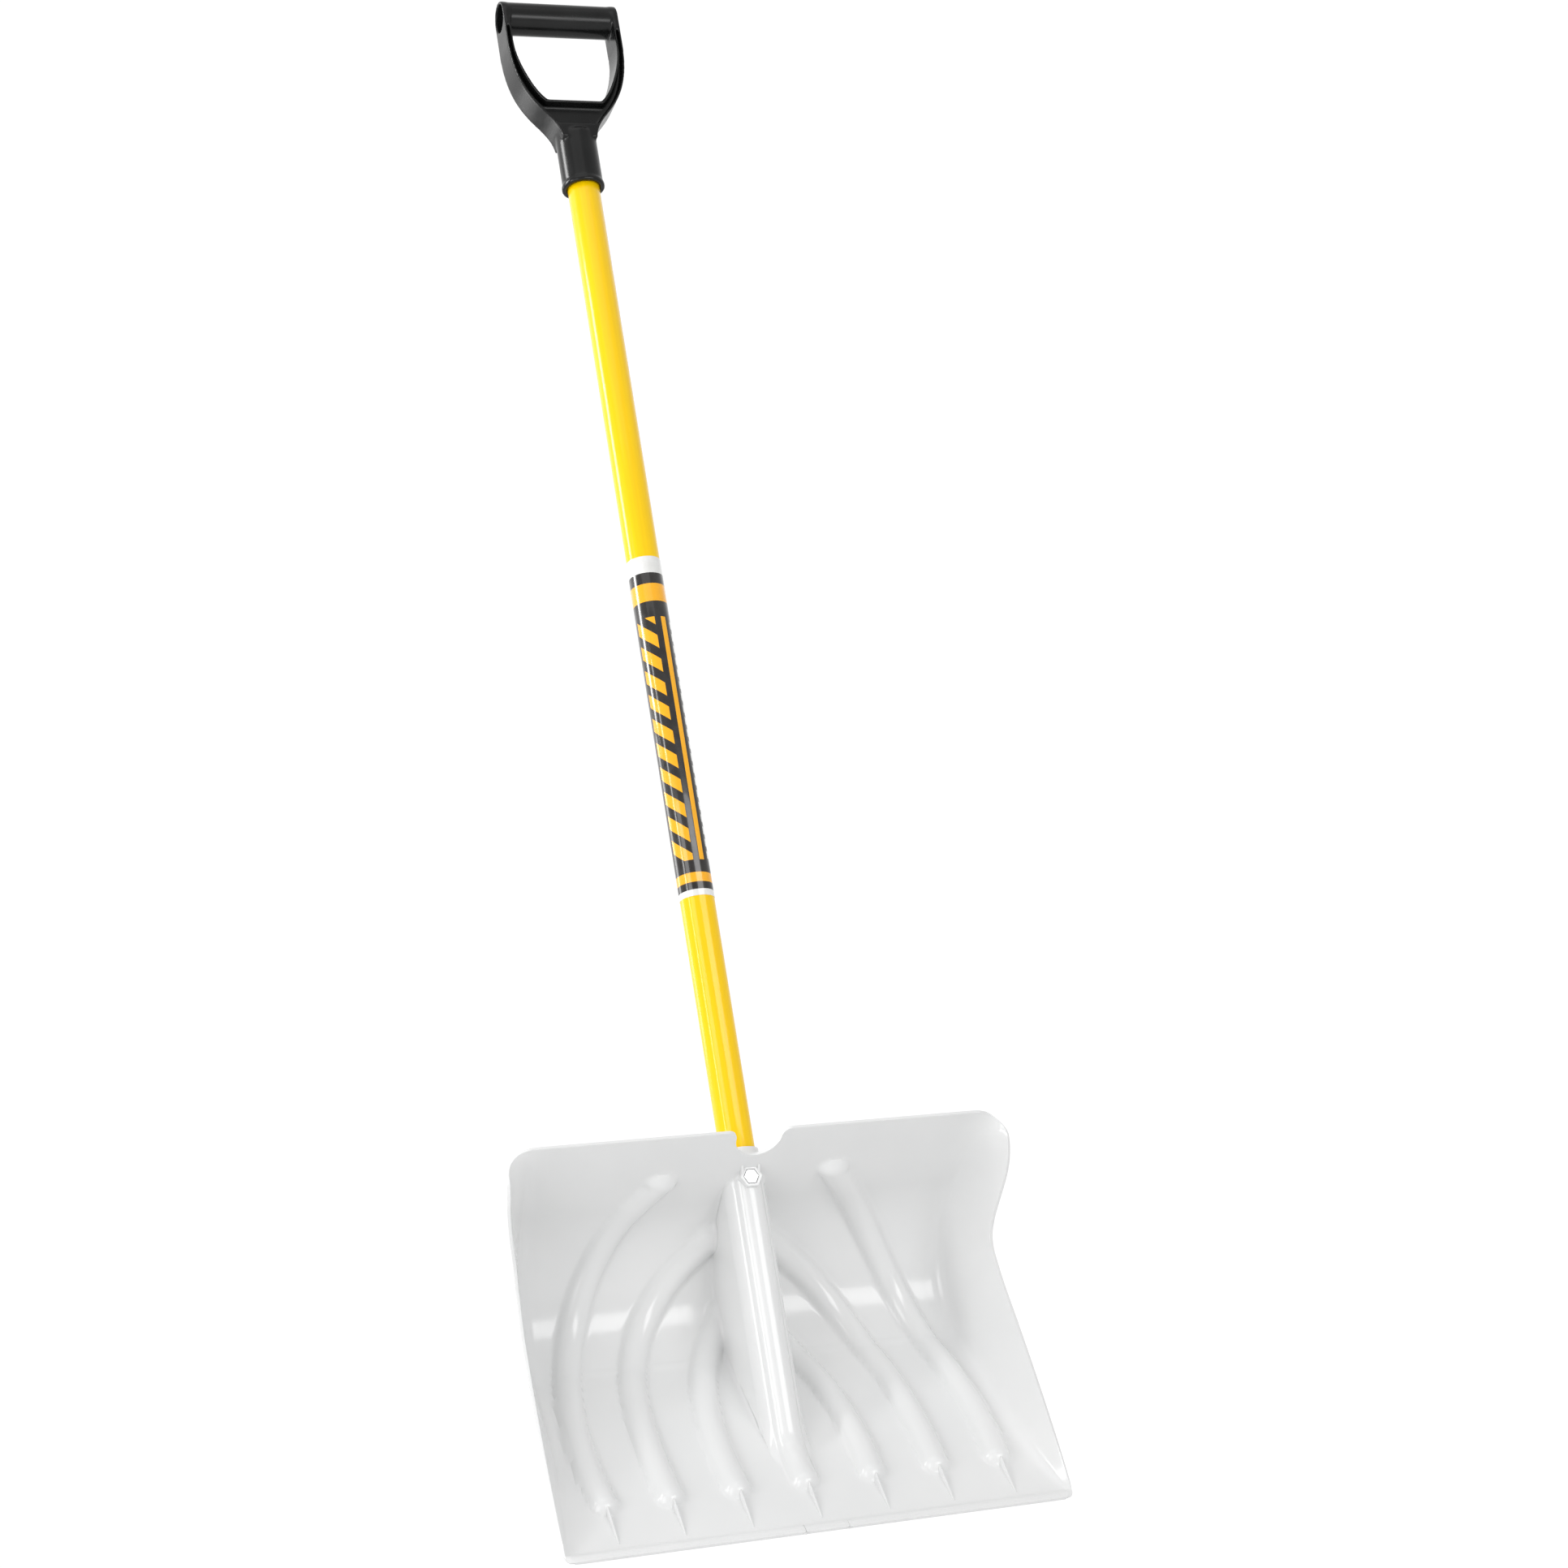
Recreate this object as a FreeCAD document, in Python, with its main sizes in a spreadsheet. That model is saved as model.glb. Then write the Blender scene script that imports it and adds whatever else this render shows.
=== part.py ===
"""A snow shovel: a moulded scoop on a straight tube handle, with a moulded D-shaped hand grip.

Millimetres. +Z runs up the handle, -Y is the side that the scoop opens to, and +X is to the right as
seen from that side. The origin is the middle of the scoop's lower edge.
"""
import FreeCAD
import Part

import math
import os
import re

from FreeCAD import Placement, Rotation, Vector

UP = Vector(0, 0, 1)
ACROSS = Vector(1, 0, 0)
BACK = Vector(0, 1, 0)

# The driving dimensions, which become the cells of the spreadsheet.
SIZES = {
    # scoop, seen from the side: a flat ramp, a round curl and a flat brow
    "scoop_width": 453,
    "scoop_height": 346,
    "scoop_wall": 3,
    "ramp_height": 165,
    "ramp_lean": 38,
    "curl_radius": 97,
    "curl_entry": 31,
    "brow_lean": 64,
    # scoop, seen from the front
    "waist_width": 437,
    "waist_height": 225,
    "shoulder_width": 457,
    "flare_start": 232,
    "flare_run": 90,
    "shoulder_run": 70,
    "valley_width": 396,
    "valley_fade": 55,
    "valley_round": 11,
    "rim_slope": 0.283,
    "rim_depth": 61,
    "top_corner": 22,
    # raised ribs of the scoop
    "rib_height": 9,
    "rib_reach": 13,
    "rib_spacing": 58.4,
    "rib_nose": 55,
    "fin_start": 14,
    "fin_width": 2.6,
    "fin_height": 7,
    # spine and socket that hold the handle
    "shaft_setback": 73,
    "spine_foot": 39,
    "spine_bead": 24,
    "spine_bead_depth": 23,
    "spine_wall": 3,
    "channel_foot": 77,
    "channel_top": 296,
    "socket_radius": 19.5,
    "socket_floor": 172,
    "socket_mouth": 343,
    "notch_width": 54,
    "notch_depth": 37,
    "boss_width": 17,
    "boss_depth": 27,
    "boss_overlap": 6,
    "head_pocket_depth": 5,
    # handle tube
    "tube_radius": 15.9,
    "tube_wall": 2.5,
    "tube_foot": 176,
    "tube_top": 1372,
    "fit_gap": 0.25,
    # printed sleeve on the tube
    "sleeve_foot": 578,
    "sleeve_top": 915,
    "sleeve_skin": 0.3,
    # D-shaped grip
    "bar_height": 1514,
    "bar_radius": 17,
    "cheek_step": 0.5,
    "grip_width": 120,
    "bore_radius": 14,
    "bore_depth": 56,
    "arm_wall": 6.5,
    "gap_floor": 1412,
    "gap_floor_width": 56,
    "collar_foot": 1319,
    "collar_top": 1378,
    "collar_radius": 20.2,
    "collar_lip": 21.4,
    "collar_lip_height": 5,
    "groove_rim": 2,
    "groove_depth": 10,
    # fasteners
    "bolt_height": 314,
    "bolt_radius": 3.1,
    "head_flats": 11.1,
    "head_thickness": 4.2,
    "nut_thickness": 7,
    "washer_radius": 8,
    "washer_thickness": 1.4,
    "screw_height": 1346,
    "screw_radius": 2.1,
    "screw_head_radius": 4.2,
    "screw_length": 12,
    # how far a cutting tool runs past the face it cuts
    "overrun": 2,
}

doc = FreeCAD.newDocument("snow_shovel")
sheet = doc.addObject("Spreadsheet::Sheet", "Sizes")
for row, (alias, value) in enumerate(SIZES.items(), start=1):
    sheet.set("A%d" % row, alias)
    sheet.set("B%d" % row, str(value))
    sheet.setAlias("B%d" % row, alias)
doc.recompute()


def size(alias):
    """The value of one cell of the sheet."""
    return float(sheet.get(alias))


def cell_name(match):
    """How an expression names a cell of the sheet; other words stay as they are."""
    word = match.group()
    return "Sizes." + word if word in SIZES else word


def bind(item, **sizes):
    """Ties an object's properties to formulas over the sheet's cells."""
    for name, formula in sizes.items():
        item.setExpression(name, re.sub("[a-z_]+", cell_name, formula))
    return item


def primitive(kind, name, place=None, turn=None, **sizes):
    """A Part primitive whose sizes follow the sheet, at a formula's place and a fixed turn."""
    item = doc.addObject(kind, name)
    if turn is not None:
        item.Placement = Placement(Vector(), turn)
    bind(item, **sizes)
    for axis, formula in (place or {}).items():
        bind(item, **{"Placement.Base." + axis: formula})
    return item


def cylinder(name, radius, height, place=None, turn=None):
    return primitive("Part::Cylinder", name, place, turn, Radius=radius, Height=height)


def hexagon(name, flats, height, place=None, turn=None):
    """A hexagonal prism, from its width across the flats."""
    across_corners = flats + " / 2 / cos(30)"
    prism = primitive("Part::Prism", name, place, turn, Circumradius=across_corners, Height=height)
    prism.Polygon = 6
    return prism


def cut(name, base, tool):
    item = doc.addObject("Part::Cut", name)
    item.Base = base
    item.Tool = tool
    return item


def common(name, base, tool):
    item = doc.addObject("Part::Common", name)
    item.Base = base
    item.Tool = tool
    return item


def fuse(name, *shapes):
    item = doc.addObject("Part::MultiFuse", name)
    item.Shapes = list(shapes)
    return item


def one_by_one(kind, name, base, tools):
    """Joins or cuts one tool at a time, which thin curved walls need. The last result has the name."""
    for number, tool in enumerate(tools, start=1):
        last = number == len(tools)
        item = doc.addObject(kind, name if last else "%s_step_%d" % (name, number))
        item.Base = base
        item.Tool = tool
        base = item
    return base


def sketch_on(name, turn, edges):
    """A free sketch with the given edges, in the plane that the turn gives."""
    sketch = doc.addObject("Sketcher::SketchObject", name)
    sketch.Placement = Placement(Vector(), turn)
    for edge in edges:
        sketch.addGeometry(edge, False)
    return sketch


def extrude(name, sketch, direction, ahead, behind):
    """A solid swept straight from a sketch, by two lengths bound to the sheet."""
    item = doc.addObject("Part::Extrusion", name)
    item.Base = sketch
    item.DirMode = "Custom"
    item.Dir = direction
    item.Solid = True
    return bind(item, LengthFwd=ahead, LengthRev=behind)


# Sketch planes: FRONT has sketch x along +X and y along +Z; SIDE has x along +Y and y along +Z.
FRONT = Rotation(ACROSS, 90)
SIDE = Rotation(Vector(0, 0, 1), 90) * Rotation(ACROSS, 90)
PLAN = Rotation()
TOWARDS_FRONT = Rotation(ACROSS, 90)
TOWARDS_BACK = Rotation(ACROSS, -90)
TOWARDS_RIGHT = Rotation(BACK, 90)


# ---------------------------------------------------------------- scoop

def smooth(t):
    """Rises from 0 to 1 as t does, with level ends."""
    t = min(1.0, max(0.0, t))
    return t * t * (3 - 2 * t)


def side_profile():
    """The scoop's side view: a ramp, a curl and a brow. The lower edge's wall is centred on the origin."""
    lean = math.radians(size("ramp_lean"))
    entry = math.radians(size("curl_entry"))
    leave = math.radians(size("brow_lean"))
    radius = size("curl_radius")
    foot = -size("scoop_wall") / 2 / math.cos(lean)
    ramp_end = (foot + size("ramp_height") * math.tan(lean), size("ramp_height"))
    centre = (ramp_end[0] - radius * math.cos(entry), ramp_end[1] + radius * math.sin(entry))
    curl_end = (centre[0] + radius * math.cos(leave), centre[1] + radius * math.sin(leave))
    brow_rise = size("scoop_height") - curl_end[1]
    return {
        "foot": foot,
        "lean": lean,
        "entry": entry,
        "leave": leave,
        "radius": radius,
        "centre": centre,
        "ramp_end": ramp_end,
        "curl_end": curl_end,
        "ramp": size("ramp_height") / math.cos(lean),
        "curl": radius * (entry + leave),
        "brow": brow_rise / math.cos(leave),
    }


PROFILE = side_profile()
PROFILE_LENGTH = PROFILE["ramp"] + PROFILE["curl"] + PROFILE["brow"]


def on_profile(station):
    """The (y, z) of a station, which is a length along the side view from the lower edge."""
    p = PROFILE
    if station <= p["ramp"]:
        return p["foot"] + station * math.sin(p["lean"]), station * math.cos(p["lean"])
    if station <= p["ramp"] + p["curl"]:
        turned = (station - p["ramp"]) / p["radius"] - p["entry"]
        return (p["centre"][0] + p["radius"] * math.cos(turned),
                p["centre"][1] + p["radius"] * math.sin(turned))
    on_brow = station - p["ramp"] - p["curl"]
    return (p["curl_end"][0] - on_brow * math.sin(p["leave"]),
            p["curl_end"][1] + on_brow * math.cos(p["leave"]))


def rim_point(height):
    """The (x, y) of the right wing's free edge at a height."""
    waist = size("waist_height")
    low = (size("scoop_width") - size("waist_width")) / 2 * (1 - min(1, height / waist) ** 2)
    above = height - size("flare_start")
    high = (size("shoulder_width") - size("waist_width")) / 2 * smooth(above / size("shoulder_run"))
    forward = smooth(above / size("flare_run"))
    deep = PROFILE["foot"] + min(size("rim_slope") * height, size("rim_depth"))
    top_y = on_profile(PROFILE_LENGTH)[0]
    return size("waist_width") / 2 + low + high, deep + (top_y - deep) * forward


def valley(height):
    """Half the width of the flat back at a height, where the wings start to turn forward."""
    spare = (size("scoop_width") - size("valley_width")) / 2
    open_foot = 0.9 * spare * math.exp(-height / size("valley_fade"))
    open_top = spare / 2 * smooth((height - 300) / 46)
    return size("valley_width") / 2 + open_foot + open_top


def rib_lines():
    """Each rib's line: x at its widest, that station, how fast it draws in, and its top station."""
    step = size("rib_spacing")
    return [
        {"x": 0, "at": 0, "bend": 0, "flick": 0, "top": 150},
        {"x": 1.06 * step, "at": 95, "bend": 25, "flick": 13, "span": 150, "top": 262},
        {"x": 2.07 * step, "at": 105, "bend": 32, "flick": 39, "span": 200, "top": 335},
        {"x": 3.07 * step, "at": 110, "bend": 46, "flick": 0, "span": 200, "top": 402},
    ]


def rib_x(rib, station):
    t = (station - rib["at"]) / rib.get("span", 1) if rib["x"] else 0
    return rib["x"] - rib["bend"] * t ** 2 - rib["flick"] * t ** 4


def station_at(height):
    """The station of the side view at a height."""
    p = PROFILE
    if height <= p["ramp_end"][1]:
        return height / math.cos(p["lean"])
    if height <= p["curl_end"][1]:
        turned = math.asin((height - p["centre"][1]) / p["radius"])
        return p["ramp"] + p["radius"] * (turned + p["entry"])
    return p["ramp"] + p["curl"] + (height - p["curl_end"][1]) / math.cos(p["leave"])


def wall_across(height):
    """The wall's thickness as a level cut meets it on the flat back."""
    station = station_at(height)
    low, high = on_profile(station - 0.5), on_profile(station + 0.5)
    return size("scoop_wall") / (high[1] - low[1])


def level_section(height):
    """The closed outline of a level cut through the scoop's wall, both wings included."""
    y = on_profile(station_at(height))[0]
    rim_x, rim_y = rim_point(height)
    corner = Vector(valley(height), y, height)
    rim = Vector(rim_x, rim_y, height)
    heading = (rim - corner).normalize()
    outward = Vector(-heading.y, heading.x, 0)
    before = corner - ACROSS * size("valley_round")
    after = corner + heading * min(size("valley_round"), 0.4 * rim.distanceToPoint(corner))
    middle = (before + after + corner * 2) * 0.25
    deep, wall = wall_across(height), size("scoop_wall")
    between = (BACK * deep + outward * wall) * 0.5
    front = [before, middle, after, rim]
    behind = [BACK * deep, between, outward * wall, outward * wall]
    back = [point + step for point, step in zip(front, behind)]
    right = front + back[::-1]
    left = [mirrored(point) for point in reversed(right)]
    return Part.makePolygon(right + left + right[:1])


def scoop_sheet():
    """The scoop's wall without its ribs: a thin sheet, flat in the middle, with a wing at each side."""
    steps = 24
    stations = [PROFILE_LENGTH * i / steps for i in range(steps + 1)]
    return Part.makeLoft([level_section(on_profile(s)[1]) for s in stations], True, True)


def mirrored(point):
    return Vector(-point.x, point.y, point.z)


def rib_section(rib, station, fullness, side, inside):
    """The D-shaped outline of a rib, square to its line. inside gives the hollow behind it."""
    wall = size("scoop_wall")
    x = rib_x(rib, station)
    y, z = on_profile(station)
    ahead_y, ahead_z = on_profile(station + 1)
    along = Vector(rib_x(rib, station + 1) - x, ahead_y - y, ahead_z - z).normalize()
    outward = ACROSS.cross(along).normalize()
    sideways = along.cross(outward).normalize()
    height = size("rib_height") * fullness
    half = size("rib_reach") * fullness
    sunk = -wall / 2
    if inside:
        height -= wall
        half -= wall
        sunk = -2 * wall
    place = Vector(x, y, z)

    def at(across, out):
        point = place + sideways * across + outward * out
        return point if side > 0 else mirrored(point)

    arc = Part.Arc(at(-half, sunk), at(0, height), at(half, sunk)).toShape()
    return Part.Wire([arc, Part.makeLine(at(half, sunk), at(-half, sunk))])


def rib_solid(rib, side, inside):
    """A rib, rounded off at both ends, or the hollow behind it."""
    wall = size("scoop_wall")
    low, high = size("rib_nose"), rib["top"]
    if inside:
        low, high = low + wall, high - wall
    sections = []
    for from_end, fullness in ((-7, 0.62), (-3.5, 0.85), (2, 0.98)):
        sections.append(rib_section(rib, low + from_end, fullness, side, inside))
    count = 9
    for i in range(count):
        station = low + 12 + (high - low - 24) * i / (count - 1)
        sections.append(rib_section(rib, station, 1, side, inside))
    for from_end, fullness in ((2, 0.98), (-3.5, 0.85), (-7, 0.62)):
        sections.append(rib_section(rib, high - from_end, fullness, side, inside))
    return Part.makeLoft(sections, True, False)


def solid(name, shape):
    """A document object for a shape that has no sketch or primitive of its own."""
    item = doc.addObject("Part::Feature", name)
    item.Shape = shape
    return item


def spine_side_edges():
    """The space that the spine fills, seen from the side: from its bead back into the panel's wall."""
    p = PROFILE
    entry, leave = p["entry"], p["leave"]
    middle = p["radius"] + size("scoop_wall") / 2
    front = size("shaft_setback") - size("spine_bead_depth")
    low = Vector(front, front / math.tan(p["lean"]), 0)

    def ray(angle):
        return Vector(p["centre"][0] + middle * math.cos(angle), p["centre"][1] + middle * math.sin(angle), 0)

    brow_end = ray(leave)
    high = Vector(front, brow_end.y + (brow_end.x - front) / math.tan(leave), 0)
    bend = Part.Arc(ray(-entry), ray((leave - entry) / 2), brow_end)
    return [
        Part.LineSegment(low, ray(-entry)),
        bend,
        Part.LineSegment(brow_end, high),
        Part.LineSegment(high, low),
    ]


def spine_plan_edges(inset):
    """The spine's level cut: straight sides with draft, round over the socket, a raised bead in front.

    inset moves the outline inwards, for the channel behind the spine.
    """
    axis = size("shaft_setback")
    foot = size("spine_foot") / 2 - inset
    bead = size("spine_bead") / 2 - inset
    cover = foot - 0.5
    shoulder = axis - math.sqrt(cover ** 2 - bead ** 2)
    step = shoulder - 1.5
    front = axis - size("spine_bead_depth") + inset
    far = size("scoop_height")
    mid = math.radians(20)
    right_round = Vector(cover * math.cos(mid), axis - cover * math.sin(mid), 0)
    left_round = Vector(-right_round.x, right_round.y, 0)
    return [
        Part.LineSegment(Vector(-foot, far, 0), Vector(foot, far, 0)),
        Part.LineSegment(Vector(foot, far, 0), Vector(cover, axis, 0)),
        Part.Arc(Vector(cover, axis, 0), right_round, Vector(bead, shoulder, 0)),
        Part.LineSegment(Vector(bead, shoulder, 0), Vector(bead - 0.5, step, 0)),
        Part.Arc(Vector(bead - 0.5, step, 0), Vector(0, front, 0), Vector(0.5 - bead, step, 0)),
        Part.LineSegment(Vector(0.5 - bead, step, 0), Vector(-bead, shoulder, 0)),
        Part.Arc(Vector(-bead, shoulder, 0), left_round, Vector(-cover, axis, 0)),
        Part.LineSegment(Vector(-cover, axis, 0), Vector(-foot, far, 0)),
    ]


def fin_side_edges():
    """The small fin from a rib's nose down the ramp, seen from the side."""
    start = Vector(*on_profile(size("fin_start")), 0)
    nose = Vector(*on_profile(size("rib_nose")), 0)
    lean = PROFILE["lean"]
    sunk = Vector(math.cos(lean), -math.sin(lean), 0)
    top = nose - sunk * size("fin_height")
    return [
        Part.LineSegment(start, top),
        Part.LineSegment(top, nose + sunk),
        Part.LineSegment(nose + sunk, start + sunk),
        Part.LineSegment(start + sunk, start),
    ]


def top_corner_edges(side):
    """What is cut away to round one top corner of the scoop, seen from the front."""
    round_ = size("top_corner")
    rim_x, _ = rim_point(size("scoop_height"))
    centre = Vector(rim_x - round_, size("scoop_height") - round_, 0)
    half_way = (Vector(1, 1, 0)).normalize()
    top, outer = centre + BACK * round_, centre + ACROSS * round_
    past = size("overrun") * 2
    path = [top, top + BACK * past, centre + (ACROSS + BACK) * (round_ + past), outer + ACROSS * past, outer]
    middle = centre + half_way * round_
    if side < 0:
        path = [mirrored(point) for point in path]
        middle = mirrored(middle)
    straight = [Part.LineSegment(a, b) for a, b in zip(path, path[1:])]
    return [*straight, Part.Arc(path[-1], middle, path[0])]


def make_scoop():
    """The scoop: panel, wings, ribs, spine, handle socket and bolt boss, moulded in one."""
    sheet_of_wall = solid("scoop_sheet", scoop_sheet())
    raised = []
    hollows = []
    for number, rib in enumerate(rib_lines()):
        for side in (1, -1) if rib["x"] else (1,):
            label = "%d_%s" % (number, "right" if side > 0 else "left")
            raised.append(solid("rib_" + label, rib_solid(rib, side, False)))
            hollows.append(solid("rib_hollow_" + label, rib_solid(rib, side, True)))
    fin_side = sketch_on("fin_side", SIDE, fin_side_edges())
    for place in range(-3, 4):
        fin = extrude("fin_%d" % (place + 4), fin_side, ACROSS, "fin_width / 2", "fin_width / 2")
        bind(fin, **{"Placement.Base.x": "rib_spacing * %d" % place})
        raised.append(fin)

    slab = extrude("spine_slab", sketch_on("spine_side", SIDE, spine_side_edges()), ACROSS,
                   "spine_foot / 2 + 1", "spine_foot / 2 + 1")
    column = extrude("spine_column", sketch_on("spine_plan", PLAN, spine_plan_edges(0)), UP,
                     "scoop_height", "0 * scoop_height")
    spine = common("spine", slab, column)
    sleeve = cylinder("socket_sleeve", "socket_radius", "socket_mouth - socket_floor + spine_wall",
                      {"y": "shaft_setback", "z": "socket_floor - spine_wall"})
    boss = hexagon("bolt_boss", "boss_width", "boss_depth - boss_overlap",
                   {"y": "shaft_setback - boss_overlap", "z": "bolt_height"}, TOWARDS_FRONT)
    whole = one_by_one("Part::Fuse", "scoop_solid", sheet_of_wall, [*raised, spine, sleeve, boss])

    channel_plan = sketch_on("channel_plan", PLAN, spine_plan_edges(size("spine_wall")))
    channel_column = extrude("channel_column", channel_plan, UP, "channel_top", "-channel_foot")
    channel = cut("spine_channel", channel_column, cylinder(
        "socket_keep", "socket_radius", "socket_mouth - socket_floor + spine_wall",
        {"y": "shaft_setback", "z": "socket_floor - spine_wall"}))
    bore = cylinder("socket_bore", "tube_radius + fit_gap", "socket_mouth - socket_floor + overrun",
                    {"y": "shaft_setback", "z": "socket_floor"})
    notch_front = primitive("Part::Box", "notch_front",
                            {"x": "-notch_width / 2", "y": "-notch_width / 2",
                             "z": "scoop_height - notch_width / 2"},
                            Length="notch_width", Width="notch_depth", Height="notch_width")
    notch_round = cylinder("notch_round", "notch_width / 2", "notch_width",
                           {"y": "notch_depth - notch_width / 2", "z": "scoop_height - notch_width / 2"})
    seat = hexagon("head_pocket", "head_flats + 2 * fit_gap", "boss_depth",
                   {"y": "shaft_setback - boss_depth + head_pocket_depth", "z": "bolt_height"},
                   TOWARDS_FRONT)
    bolt_hole = cylinder("bolt_way", "bolt_radius + fit_gap", "2 * boss_depth + socket_radius",
                         {"y": "shaft_setback + socket_radius + overrun", "z": "bolt_height"},
                         TOWARDS_FRONT)
    corners = []
    for name, side in (("right", 1), ("left", -1)):
        corner = sketch_on("corner_outline_" + name, FRONT, top_corner_edges(side))
        corners.append(extrude("corner_" + name, corner, BACK, "notch_depth", "notch_depth"))
    cutters = [*hollows, channel, bore, notch_front, notch_round, seat, bolt_hole, *corners]
    return one_by_one("Part::Cut", "scoop", whole, cutters)


# ---------------------------------------------------------------- handle tube and its printed sleeve

def make_handle_tube():
    """The straight tube, with a cross hole for the scoop's bolt and a rear hole for the grip's screw."""
    length = "tube_top - tube_foot"
    outside = cylinder("tube_outside", "tube_radius", length, {"z": "tube_foot"})
    inside = cylinder("tube_inside", "tube_radius - tube_wall", length, {"z": "tube_foot"})
    bolt_hole = cylinder("tube_bolt_hole", "bolt_radius + fit_gap", "3 * tube_radius",
                         {"y": "1.5 * tube_radius", "z": "bolt_height"}, TOWARDS_FRONT)
    screw_hole = cylinder("tube_screw_hole", "screw_radius", "2 * tube_radius",
                          {"z": "screw_height"}, TOWARDS_BACK)
    tube = cut("handle_tube", outside, fuse("tube_cutters", inside, bolt_hole, screw_hole))
    return bind(tube, **{"Placement.Base.y": "shaft_setback"})


def make_label_sleeve():
    """The thin printed sleeve shrunk on to the tube."""
    length = "sleeve_top - sleeve_foot"
    skin = cylinder("sleeve_outside", "tube_radius + sleeve_skin", length)
    core = cylinder("sleeve_inside", "tube_radius", length)
    sleeve = cut("label_sleeve", skin, core)
    return bind(sleeve, **{"Placement.Base.y": "shaft_setback", "Placement.Base.z": "sleeve_foot"})


# ---------------------------------------------------------------- D-shaped grip

def mirrored_outline(spline_points, top_points):
    """A closed outline: a spline up the right side, straight lines over the top, and its mirror."""
    right = Part.BSplineCurve()
    right.interpolate([Vector(x, z, 0) for x, z in spline_points])
    left = Part.BSplineCurve()
    left.interpolate([Vector(-x, z, 0) for x, z in spline_points])
    over = [spline_points[-1]] + top_points
    over += [(-x, z) for x, z in reversed(over)]
    corners = [Vector(x, z, 0) for x, z in over]
    foot_x, foot_z = spline_points[0]
    edges = [right, left, Part.LineSegment(Vector(-foot_x, foot_z, 0), Vector(foot_x, foot_z, 0))]
    edges += [Part.LineSegment(a, b) for a, b in zip(corners, corners[1:]) if a != b]
    return edges


def moved_square(points, distance):
    """The points moved square to the line through them, to its outer side where distance is positive."""
    moved = []
    for i, (x, z) in enumerate(points):
        back_x, back_z = points[max(0, i - 1)]
        on_x, on_z = points[min(len(points) - 1, i + 1)]
        run = math.hypot(on_x - back_x, on_z - back_z)
        moved.append((x + distance * (on_z - back_z) / run, z - distance * (on_x - back_x) / run))
    return moved


def arm_outline(top, inset):
    """The outside of both arms, from the collar up to a height, or that outline moved inwards."""
    half = size("grip_width") / 2
    collar = size("collar_top")
    rise = size("bar_height") - collar
    points = [(0.3 * half, collar - 8), (0.38 * half, collar + 0.05 * rise), (0.64 * half, collar + 0.2 * rise),
              (0.87 * half, collar + 0.38 * rise), (0.985 * half, collar + 0.61 * rise),
              (half, collar + 0.87 * rise)]
    return mirrored_outline(moved_square(points, -inset), [(half - inset, top)])


def hand_gap_outline(top, growth):
    """The opening for the hand, below the bar, or that outline moved outwards."""
    floor = size("gap_floor")
    inner = size("grip_width") / 2 - size("arm_wall")
    rise = size("bar_height") - size("bar_radius") - floor
    half_floor = size("gap_floor_width") / 2
    points = [(half_floor, floor), (half_floor + 7, floor + 0.1 * rise), (0.82 * inner, floor + 0.3 * rise),
              (0.97 * inner, floor + 0.6 * rise), (inner, floor + 0.85 * rise)]
    return mirrored_outline(moved_square(points, growth), [(inner + growth, top)])


def arm_side_edges():
    """The arms seen from the side: straight, and round over the hand bar."""
    half, foot, bar = size("bar_radius"), size("collar_foot"), size("bar_height")
    corners = [Vector(-half, bar, 0), Vector(-half, foot, 0), Vector(half, foot, 0), Vector(half, bar, 0)]
    straight = [Part.LineSegment(a, b) for a, b in zip(corners, corners[1:])]
    return [*straight, Part.Arc(corners[-1], Vector(0, bar + half, 0), corners[0])]


def make_grooves():
    """What is cut from both faces of the arms, leaving a rim round them and a web between."""
    rim = size("groove_rim")
    top = size("bar_height") - size("bar_radius")
    field = extrude("groove_field", sketch_on("groove_outline", FRONT, arm_outline(top, rim)), BACK,
                    "bar_radius + overrun", "bar_radius + overrun")
    island_outline = sketch_on("island_outline", FRONT, hand_gap_outline(size("bar_height"), rim))
    island = extrude("groove_island", island_outline, BACK, "grip_width", "grip_width")
    island.Placement.Base = Vector(0, 0, -rim)
    web = primitive("Part::Box", "web",
                    {"x": "-grip_width / 2", "y": "groove_depth - bar_radius", "z": "collar_foot"},
                    Length="grip_width", Width="2 * (bar_radius - groove_depth)",
                    Height="bar_height - collar_foot")
    below = primitive("Part::Box", "below_grooves",
                      {"x": "-grip_width / 2", "y": "-grip_width / 2", "z": "collar_foot"},
                      Length="grip_width", Width="grip_width",
                      Height="collar_top - collar_foot + groove_depth - groove_rim")
    return one_by_one("Part::Cut", "grooves", field, [island, web, below])


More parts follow.
